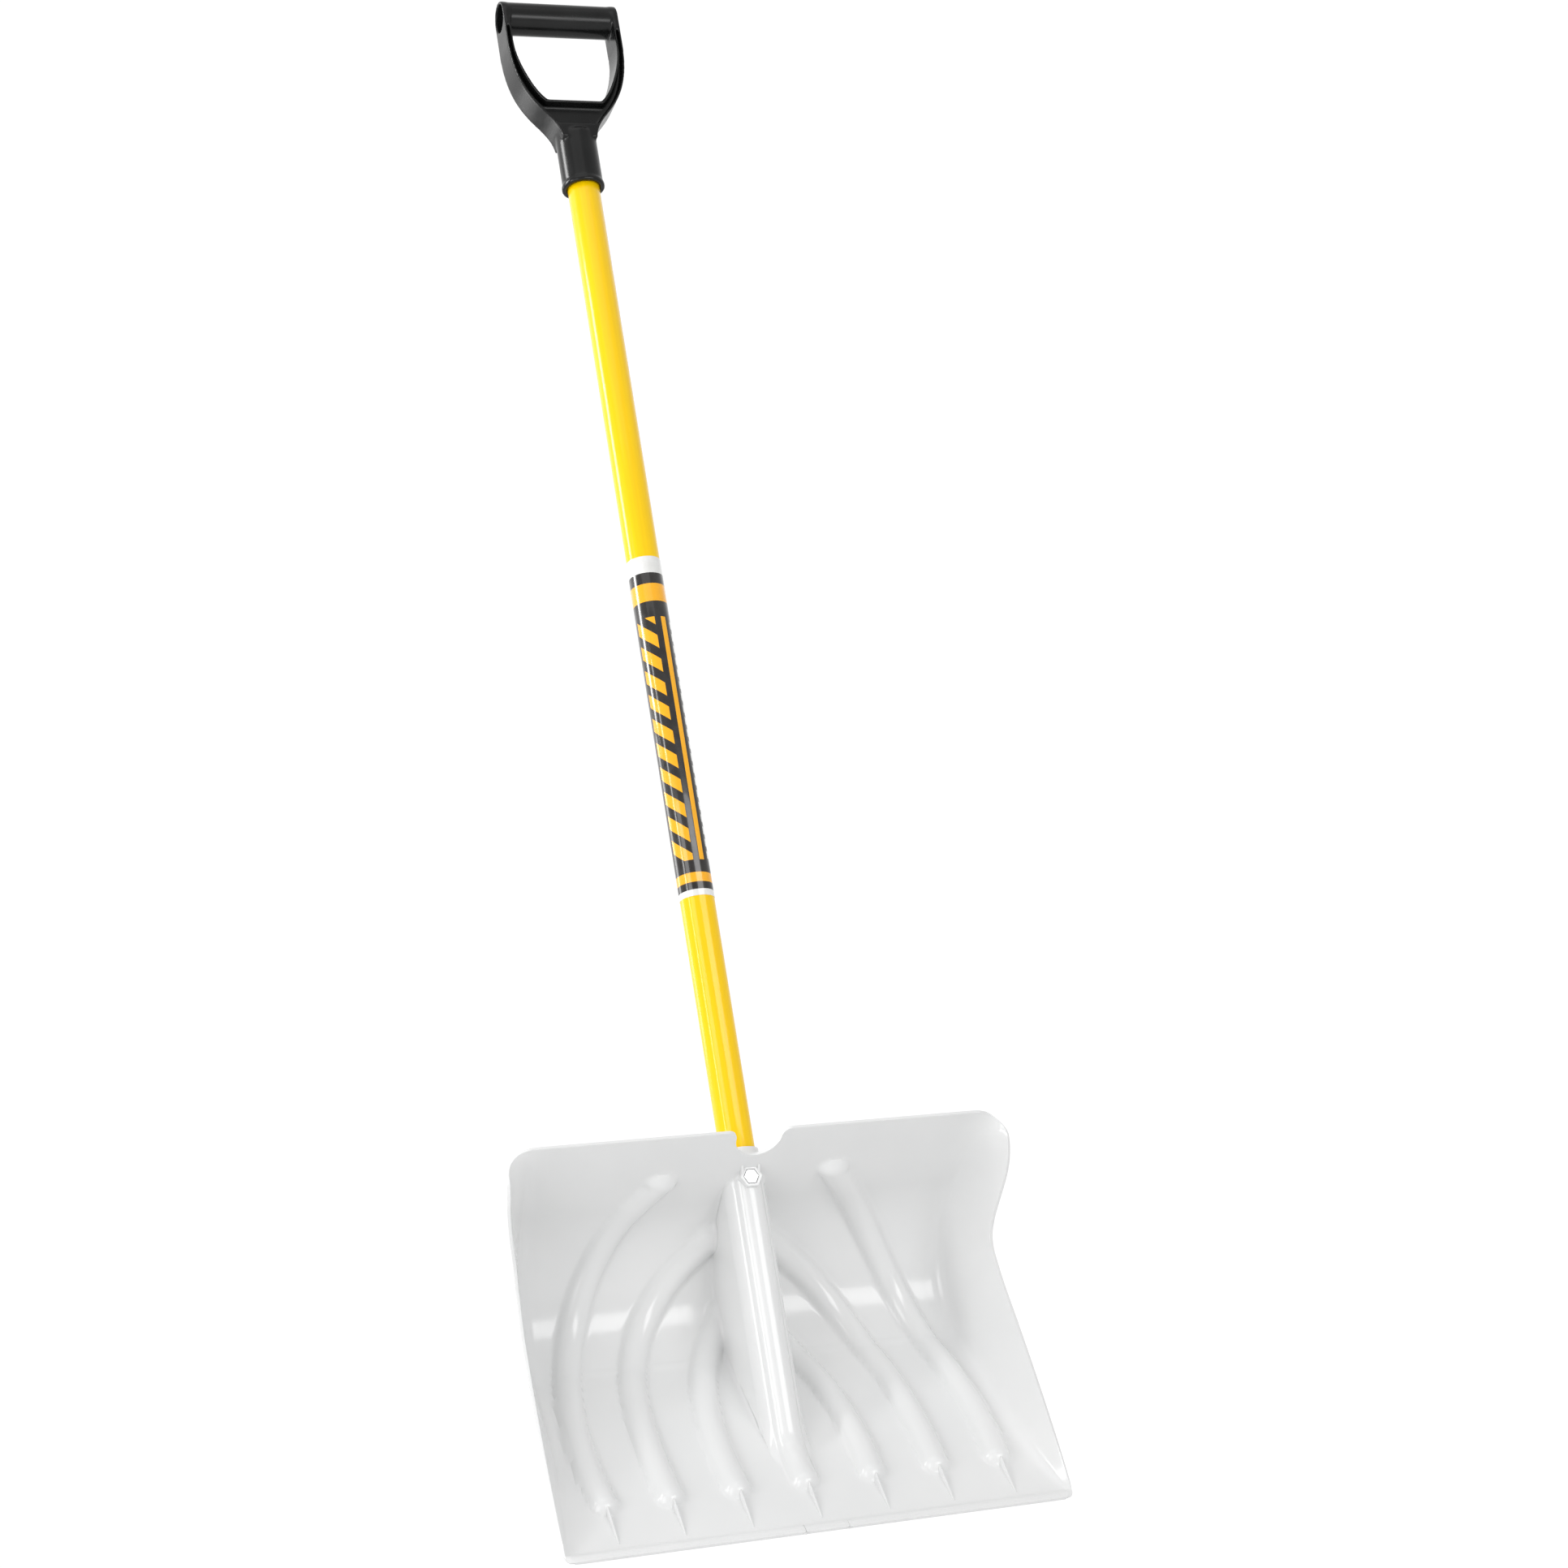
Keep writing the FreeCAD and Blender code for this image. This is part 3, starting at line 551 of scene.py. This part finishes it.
def make_boss():
    """A hexagonal tower along Y, inset and pushed in at the front."""
    corner_radius = BOSS_FLATS / 2 / math.cos(math.radians(30)) * MM
    bpy.ops.mesh.primitive_cylinder_add(vertices=6, radius=corner_radius, depth=BOSS_LENGTH * MM)
    boss = named("bolt_boss")
    turned = Matrix.Rotation(math.radians(90), 4, "X") @ Matrix.Rotation(math.radians(30), 4, "Z")
    boss.data.transform(turned)
    boss.data.transform(Matrix.Translation(Vector((0, BOSS_FRONT + BOSS_LENGTH / 2, BOLT_Z)) * MM))
    faces_where(boss, lambda middle, normal: normal.y < -0.9)
    bpy.ops.mesh.inset(thickness=BOSS_RIM * MM, depth=0)
    bpy.ops.mesh.extrude_region_move(TRANSFORM_OT_translate={"value": (0, POCKET_DEPTH * MM, 0)})
    bpy.ops.object.mode_set(mode="OBJECT")
    modifier(boss, "BEVEL", width=0.6 * MM, segments=3, limit_method="ANGLE", angle_limit=math.radians(40))
    return boss


# %% The two ridges above the boss
RIDGE_SIZE = (2.2, 7, 15, 1)
RIDGE_X = 7.6
RIDGE_Y = 50.5
RIDGE_Z = 320.5
RIDGE_LEAN = 5.5


def make_ridge(side):
    """A low wall from the boss up to the notch, lying on the brow."""
    bpy.ops.mesh.primitive_cube_add(size=MM)
    ridge = named("ridge")
    ridge.data.transform(Matrix.Diagonal(RIDGE_SIZE))
    ridge.data.transform(Matrix.Translation(Vector((side * RIDGE_X, RIDGE_Y, RIDGE_Z)) * MM))
    faces_where(ridge, lambda middle, normal: normal.z > 0.9)
    bpy.ops.transform.translate(value=(0, -RIDGE_LEAN * MM, 0))
    bpy.ops.object.mode_set(mode="OBJECT")
    modifier(ridge, "BEVEL", width=0.7 * MM, segments=3, limit_method="ANGLE", angle_limit=math.radians(30))
    return ridge


# %% The fins, one mesh copied to each rib
FIN_FOOT = 16
FIN_HEAD = 54
FIN_HEIGHT = 6.5


def make_fin():
    """A wedge that tapers down the ramp to nothing."""
    foot_y, foot_z, run_y, run_z = on_path(FIN_FOOT)
    bpy.ops.mesh.primitive_cube_add(size=MM)
    fin = named("fin")
    fin.data.transform(Matrix.Diagonal((3.4, 1, 1, 1)))
    head_y, head_z, _, _ = on_path(FIN_HEAD)
    for vertex in fin.data.vertices:
        low = vertex.co.z < 0
        out = (0.4 if low else FIN_HEIGHT) if vertex.co.y < 0 else -1
        y, z = (foot_y, foot_z) if low else (head_y, head_z)
        x = vertex.co.x * (0.45 if low or vertex.co.y < 0 else 1)
        vertex.co = Vector((x, (y - out * run_z) * MM, (z + out * run_y) * MM))
    modifier(fin, "BEVEL", width=0.4 * MM, segments=2, limit_method="ANGLE", angle_limit=math.radians(30))
    return fin


def copied(piece, shift):
    """A copy with its own mesh, moved."""
    twin = piece.copy()
    twin.data = piece.data.copy()
    twin.data.transform(Matrix.Translation(shift))
    bpy.context.collection.objects.link(twin)
    return twin


def nose_shift(rib, side):
    return Vector((side * rib_line(rib, RIB_NOSE)[0] * MM, 0, 0))


middle_fin = make_fin()
fins = [copied(middle_fin, nose_shift(rib, side)) for rib in RIBS[1:] for side in (1, -1)]
extras = [make_sleeve(), make_boss(), make_ridge(1), make_ridge(-1), middle_fin, *fins]
scoop = joined([shell, *extras], "scoop_shell")
finish_piece(scoop, ["scoop"])


# %% [markdown]
# ## The tube and its printed film
#
# The handle is a glass-fibre tube with a glossy yellow coat, and the film is a thin sleeve shrunk round
# it. Both are plain turned shapes, so each is a cylinder without ends, given its wall and a small bevel.

# %% Round tubes from the frame's boxes
def make_round(name, node, wall, bevel):
    """An open tube where a CAD node is, with finer facets than the node has."""
    low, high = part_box(node)
    middle = (low + high) / 2
    bpy.ops.mesh.primitive_cylinder_add(vertices=96, radius=(high.x - low.x) / 2, depth=high.z - low.z,
                                        end_fill_type="NOTHING", location=middle)
    tube = named(name)
    modifier(tube, "SOLIDIFY", thickness=wall, offset=-1)
    modifier(tube, "BEVEL", width=bevel, segments=2, limit_method="ANGLE", angle_limit=math.radians(60))
    return tube


tube = finish_piece(make_round("tube", "handle_tube", 2.5 * MM, 0.5 * MM), ["handle_tube"])
film = finish_piece(make_round("film", "label_sleeve", 0.3 * MM, 0.1 * MM), ["label_sleeve"])


# %% [markdown]
# ## The hand grip
#
# The grip is one black moulding whose faces run into each other with soft fillets. The CAD node has the
# right faces with sharp edges, so a copy of it is welded, remeshed into an even skin and relaxed a
# little, which rounds every edge and fills every inner corner as a mould does.

# %% A softened copy of the grip
def make_grip():
    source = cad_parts["d_grip"]
    grip = bpy.data.objects.new("hand_grip", source.data.copy())
    bpy.context.collection.objects.link(grip)
    only(grip)
    bpy.ops.object.mode_set(mode="EDIT")
    bpy.ops.mesh.select_all(action="SELECT")
    bpy.ops.mesh.remove_doubles(threshold=0.01 * MM)
    bpy.ops.object.mode_set(mode="OBJECT")
    modifier(grip, "REMESH", mode="VOXEL", voxel_size=1.05 * MM)
    modifier(grip, "SMOOTH", factor=0.5, iterations=14)
    return grip


grip = finish_piece(make_grip(), ["d_grip"])


# %% [markdown]
# ## Finishes
#
# Each finish is a node tree on Object coordinates, which are metres here, so a pattern keeps its real
# size and its place on the piece. A number that is the same all over is set on the shader itself, and
# only what varies is linked.

# %% Node helpers
def new_finish(name, **constants):
    """A material with a Principled shader whose constant sockets are set."""
    finish = bpy.data.materials.new(name)
    finish.use_nodes = True
    shader = finish.node_tree.nodes["Principled BSDF"]
    for socket, value in constants.items():
        shader.inputs[socket.replace("_", " ")].default_value = value
    return finish, finish.node_tree, shader


def object_place(tree, scale=(1, 1, 1), location=(0, 0, 0)):
    """Object coordinates, stretched and moved."""
    source = tree.nodes.new("ShaderNodeTexCoord")
    mapping = tree.nodes.new("ShaderNodeMapping")
    mapping.inputs["Scale"].default_value = scale
    mapping.inputs["Location"].default_value = location
    tree.links.new(source.outputs["Object"], mapping.inputs["Vector"])
    return mapping.outputs["Vector"]


def noise(tree, vector, scale, detail=3, roughness=0.5):
    node = tree.nodes.new("ShaderNodeTexNoise")
    node.inputs["Scale"].default_value = scale
    node.inputs["Detail"].default_value = detail
    node.inputs["Roughness"].default_value = roughness
    tree.links.new(vector, node.inputs["Vector"])
    return node.outputs["Fac"]


def ramp(tree, factor, stops):
    """Colours or greys along a factor. Each stop is a place and a colour."""
    node = tree.nodes.new("ShaderNodeValToRGB")
    elements = node.color_ramp.elements
    while len(elements) < len(stops):
        elements.new(1)
    for element, (position, colour) in zip(elements, stops):
        element.position = position
        element.color = (*colour, 1) if isinstance(colour, tuple) else (colour, colour, colour, 1)
    tree.links.new(factor, node.inputs["Fac"])
    return node.outputs["Color"]


def maths(tree, operation, first, second=0.0, third=0.0):
    node = tree.nodes.new("ShaderNodeMath")
    node.operation = operation
    for socket, value in zip(node.inputs, (first, second, third)):
        if isinstance(value, (int, float)):
            socket.default_value = value
        else:
            tree.links.new(value, socket)
    return node.outputs["Value"]


def blend_colours(tree, factor, first, second, kind="MIX"):
    node = tree.nodes.new("ShaderNodeMix")
    node.data_type = "RGBA"
    node.blend_type = kind
    for socket, value in ((node.inputs[0], factor), (node.inputs[6], first), (node.inputs[7], second)):
        if isinstance(value, tuple):
            socket.default_value = (*value, 1)
        elif isinstance(value, (int, float)):
            socket.default_value = value
        else:
            tree.links.new(value, socket)
    return node.outputs[2]


def bump(tree, shader, height, strength, distance):
    node = tree.nodes.new("ShaderNodeBump")
    node.inputs["Strength"].default_value = strength
    node.inputs["Distance"].default_value = distance
    tree.links.new(height, node.inputs["Height"])
    tree.links.new(node.outputs["Normal"], shader.inputs["Normal"])


def paint(piece, finish):
    piece.data.materials.clear()
    piece.data.materials.append(finish)


# %% [markdown]
# ## White polypropylene
#
# The scoop is off-white and glossy. Moulded polypropylene is slightly cloudy, its gloss varies with how
# it flowed, and the lower lip is faintly scuffed by the ground, which a noise stretched up and down and
# kept to the lowest centimetres gives.

# %% The scoop's finish
def scoop_finish():
    finish, tree, shader = new_finish("white_polypropylene", IOR=1.49, Specular_IOR_Level=0.55)
    place_ = object_place(tree)
    clouds = noise(tree, place_, 9, 4)
    colour = ramp(tree, clouds, [(0.3, (0.785, 0.79, 0.79)), (0.7, (0.81, 0.812, 0.81))])
    height = tree.nodes.new("ShaderNodeSeparateXYZ")
    tree.links.new(place_, height.inputs["Vector"])
    low = maths(tree, "SMOOTH_MIN", maths(tree, "MULTIPLY", height.outputs["Z"], 60), 1.0, 0.2)
    scratches = noise(tree, object_place(tree, (520, 520, 26)), 1, 3)
    near_ground = maths(tree, "SUBTRACT", 1.0, low)
    scuffed = maths(tree, "MULTIPLY", near_ground, ramp(tree, scratches, [(0.5, 0), (0.62, 1)]))
    scuffs = maths(tree, "MULTIPLY", scuffed, 0.1)
    tree.links.new(blend_colours(tree, scuffs, colour, (0.56, 0.56, 0.55)), shader.inputs["Base Color"])
    gloss = ramp(tree, noise(tree, place_, 25, 3), [(0.3, 0.13), (0.75, 0.18)])
    rough = maths(tree, "ADD", gloss, maths(tree, "MULTIPLY", scuffs, 0.6))
    tree.links.new(rough, shader.inputs["Roughness"])
    bump(tree, shader, noise(tree, place_, 60, 1), 0.05, 0.0004)
    return finish


paint(scoop, scoop_finish())


# %% [markdown]
# ## Yellow gel coat
#
# The tube's coat is glossy and strong yellow. Fibres under it run along the tube and show as very faint
# streaks, made by a noise that is long along Z and fine round the tube.

# %% The tube's finish
def tube_finish():
    finish, tree, shader = new_finish("yellow_gel_coat", IOR=1.4, Specular_IOR_Level=0.3, Coat_Weight=0.4,
                                      Coat_Roughness=0.06)
    streaks = noise(tree, object_place(tree, (420, 420, 7)), 1, 4)
    broad = noise(tree, object_place(tree), 14, 2)
    colour = ramp(tree, streaks, [(0.3, (0.95, 0.59, 0.0)), (0.7, (1.0, 0.65, 0.0))])
    tree.links.new(blend_colours(tree, maths(tree, "MULTIPLY", broad, 0.2), colour, (1.0, 0.6, 0.0)),
                   shader.inputs["Base Color"])
    tree.links.new(ramp(tree, broad, [(0.3, 0.2), (0.7, 0.28)]), shader.inputs["Roughness"])
    bump(tree, shader, streaks, 0.06, 0.0003)
    return finish


paint(tube, tube_finish())


# %% [markdown]
# ## The printed film
#
# The film is glossy, black between two white bands, with a plain amber design of the maker's kind: here
# that is a ring at each end, a row of slanted bars, a stripe and a dashed line, with no lettering. Height is
# Object Z, and the angle round the tube comes from Object X and Y.

# %% The film's finish
film_low, film_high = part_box("label_sleeve")
PRINT_FOOT = 34
PRINT_HEAD = 62
BAR_PITCH = 24
BAR_SHARE = 0.55
DASH_PITCH = 12
DASH_SHARE = 0.62


def between(tree, value, low, high):
    """1 where a value is between two limits, else 0."""
    above = maths(tree, "GREATER_THAN", value, low)
    below = maths(tree, "LESS_THAN", value, high)
    return maths(tree, "MULTIPLY", above, below)


def film_finish():
    finish, tree, shader = new_finish("printed_film", IOR=1.5, Coat_Weight=0.6, Coat_Roughness=0.05)
    place_ = object_place(tree, location=(0, -AXIS_Y * MM, -film_low.z))
    split = tree.nodes.new("ShaderNodeSeparateXYZ")
    tree.links.new(place_, split.inputs["Vector"])
    up = maths(tree, "MULTIPLY", split.outputs["Z"], 1 / MM)
    turn = maths(tree, "ARCTAN2", split.outputs["X"], maths(tree, "MULTIPLY", split.outputs["Y"], -1))
    around = maths(tree, "MULTIPLY", turn, TUBE_RADIUS / MM)
    length = (film_high.z - film_low.z) / MM

    zone = between(tree, up, PRINT_FOOT, length - PRINT_HEAD)
    slant = maths(tree, "ADD", up, maths(tree, "MULTIPLY", around, 0.9))
    bars = between(tree, maths(tree, "FRACT", maths(tree, "DIVIDE", slant, BAR_PITCH)), 0.0, BAR_SHARE)
    bar_zone = maths(tree, "MULTIPLY", between(tree, around, -23, -3), zone)
    stripe = maths(tree, "MULTIPLY", between(tree, around, 3, 8), zone)
    top_ring = between(tree, up, length - 46, length - 28)
    foot_ring = between(tree, up, 13, 22)
    amber = maths(tree, "MULTIPLY", bars, bar_zone)
    for shape in (stripe, top_ring, foot_ring):
        amber = maths(tree, "MAXIMUM", amber, shape)
    dashes = between(tree, maths(tree, "FRACT", maths(tree, "DIVIDE", up, DASH_PITCH)), 0.0, DASH_SHARE)
    dash_zone = maths(tree, "MULTIPLY", between(tree, around, 14, 18), zone)
    white = maths(tree, "MULTIPLY", dashes, dash_zone)

    wear = noise(tree, object_place(tree), 130, 3)
    ink = ramp(tree, wear, [(0.3, (0.009, 0.007, 0.006)), (0.75, (0.02, 0.017, 0.015))])
    colour = blend_colours(tree, amber, ink, (1.0, 0.46, 0.0))
    colour = blend_colours(tree, white, colour, (0.82, 0.82, 0.8))
    printed = between(tree, up, 6, length - 17)
    paper = ramp(tree, wear, [(0.3, (0.78, 0.78, 0.76)), (0.75, (0.86, 0.86, 0.85))])
    tree.links.new(blend_colours(tree, printed, paper, colour), shader.inputs["Base Color"])
    tree.links.new(ramp(tree, wear, [(0.3, 0.18), (0.8, 0.3)]), shader.inputs["Roughness"])
    bump(tree, shader, maths(tree, "ADD", wear, maths(tree, "MULTIPLY", amber, 0.5)), 0.08, 0.0002)
    return finish


paint(film, film_finish())


# %% [markdown]
# ## Black grip plastic
#
# The grip is black and half glossy, with a fine eroded texture that spreads its highlights, and its gloss
# varies a little from place to place.

# %% The grip's finish
def grip_finish():
    finish, tree, shader = new_finish("black_plastic", IOR=1.5, Specular_IOR_Level=0.35)
    place_ = object_place(tree)
    clouds = noise(tree, place_, 35, 3)
    grain = noise(tree, place_, 1400, 2)
    tree.links.new(ramp(tree, clouds, [(0.3, (0.004, 0.0042, 0.0042)), (0.75, (0.008, 0.0083, 0.0083))]),
                   shader.inputs["Base Color"])
    tree.links.new(ramp(tree, clouds, [(0.3, 0.2), (0.75, 0.28)]), shader.inputs["Roughness"])
    bump(tree, shader, maths(tree, "ADD", grain, clouds), 0.12, 0.0003)
    return finish


paint(grip, grip_finish())


# %% [markdown]
# ## Zinc and dark steel
#
# The bolt, washer and nut are bright zinc plate, slightly mottled, and the grip's screw is dark. They
# keep their CAD meshes, and only their materials change.

# %% The fasteners' finishes
def metal_finish(name, dark, light, roughness):
    finish, tree, shader = new_finish(name, Metallic=1.0)
    mottle = noise(tree, object_place(tree), 380, 4)
    tree.links.new(ramp(tree, mottle, [(0.3, dark), (0.75, light)]), shader.inputs["Base Color"])
    rough = ramp(tree, mottle, [(0.3, roughness), (0.75, roughness + 0.12)])
    tree.links.new(rough, shader.inputs["Roughness"])
    bump(tree, shader, mottle, 0.08, 0.0002)
    return finish


zinc = metal_finish("bright_zinc", (0.80, 0.81, 0.82), (0.93, 0.93, 0.92), 0.26)
dark_steel = metal_finish("dark_steel", (0.05, 0.05, 0.052), (0.11, 0.11, 0.115), 0.34)
for node in ("scoop_bolt", "bolt_washer", "lock_nut"):
    paint(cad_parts[node], zinc)
paint(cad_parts["grip_screw"], dark_steel)


# %% [markdown]
# ## Floor, light and camera
#
# The shovel is shown from low in front, tilted, on white. So the floor is pale and well below it, and the
# surroundings are white behind and grey in front. Narrow panels at the left give the long highlights that
# run down the tube and the grip, and wide dim ones in front and above fill the scoop.

# %% The floor
FLOOR_Z = -0.95


def make_floor():
    bpy.ops.mesh.primitive_plane_add(size=60, location=(0, 0, FLOOR_Z))
    floor = named("floor")
    bpy.ops.object.transform_apply(location=True)
    finish, tree, shader = new_finish("pale_floor", Roughness=0.9)
    pale = ramp(tree, noise(tree, object_place(tree), 3, 3), [(0.3, 0.7), (0.7, 0.715)])
    tree.links.new(pale, shader.inputs["Base Color"])
    paint(floor, finish)


make_floor()


# %% Surroundings and soft panels
def aim(item, target):
    direction = Vector(target) - item.location
    item.rotation_mode = "QUATERNION"
    item.rotation_quaternion = direction.to_track_quat("-Z", "Y")


def soft_panel(name, location, target, width, height, watts):
    light = bpy.data.lights.new(name, "AREA")
    light.shape = "RECTANGLE"
    light.size = width
    light.size_y = height
    light.energy = watts
    panel = bpy.data.objects.new(name, light)
    bpy.context.scene.collection.objects.link(panel)
    panel.location = location
    aim(panel, target)


def make_room():
    """A white room that is brighter behind the shovel than in front of it."""
    world = bpy.data.worlds.new("white_room")
    world.use_nodes = True
    tree = world.node_tree
    split = tree.nodes.new("ShaderNodeSeparateXYZ")
    source = tree.nodes.new("ShaderNodeTexCoord")
    tree.links.new(source.outputs["Generated"], split.inputs["Vector"])
    behind = maths(tree, "MULTIPLY_ADD", split.outputs["Y"], 0.5, 0.5)
    light = ramp(tree, behind, [(0.5, 0.58), (0.86, 1.05)])
    tree.links.new(light, tree.nodes["Background"].inputs["Color"])
    bpy.context.scene.world = world


make_room()
bpy.context.scene.view_settings.view_transform = "Standard"
soft_panel("left_panel", (-3.0, -0.9, 1.2), (0, 0, 0.9), 0.35, 2.6, 26)
soft_panel("high_panel", (-2.95, 0.96, 2.8), (0, 0, 1.1), 0.8, 1.7, 62)
soft_panel("rear_panel", (-2.2, 2.1, 1.3), (0, 0, 1.3), 1.0, 1.0, 12)
soft_panel("left_fill", (-2.6, -2.2, 0.5), (0, 0, 0.2), 1.4, 1.4, 18)
soft_panel("front_panel", (1.1, -3.4, 0.75), (0, 0, 0.2), 2.4, 1.1, 34)
soft_panel("top_panel", (-0.6, -1.6, 3.2), (0, 0, 0.4), 2.4, 1.6, 7)


# %% The camera
LENS = 71.0
CAMERA_PLACE = (-0.8943, -2.4646, -0.2430)
CAMERA_TURN = math.radians(-21.45)
CAMERA_LIFT = math.radians(18.83)
CAMERA_ROLL = math.radians(-9.74)


def make_camera():
    """A camera that looks along a direction given by its turn and lift, rolled about it."""
    data = bpy.data.cameras.new("camera")
    data.lens = LENS
    data.sensor_width = 36
    camera = bpy.data.objects.new("camera", data)
    bpy.context.scene.collection.objects.link(camera)
    ahead = Vector((-math.sin(CAMERA_TURN) * math.cos(CAMERA_LIFT),
                    math.cos(CAMERA_TURN) * math.cos(CAMERA_LIFT),
                    math.sin(CAMERA_LIFT)))
    right = ahead.cross(Vector((0, 0, 1))).normalized()
    up = right.cross(ahead)
    rolled_right = right * math.cos(CAMERA_ROLL) + up * math.sin(CAMERA_ROLL)
    rolled_up = up * math.cos(CAMERA_ROLL) - right * math.sin(CAMERA_ROLL)
    axes = Matrix((rolled_right, rolled_up, -ahead)).transposed()
    camera.rotation_mode = "QUATERNION"
    camera.rotation_quaternion = axes.to_quaternion()
    camera.location = CAMERA_PLACE
    bpy.context.scene.camera = camera


make_camera()
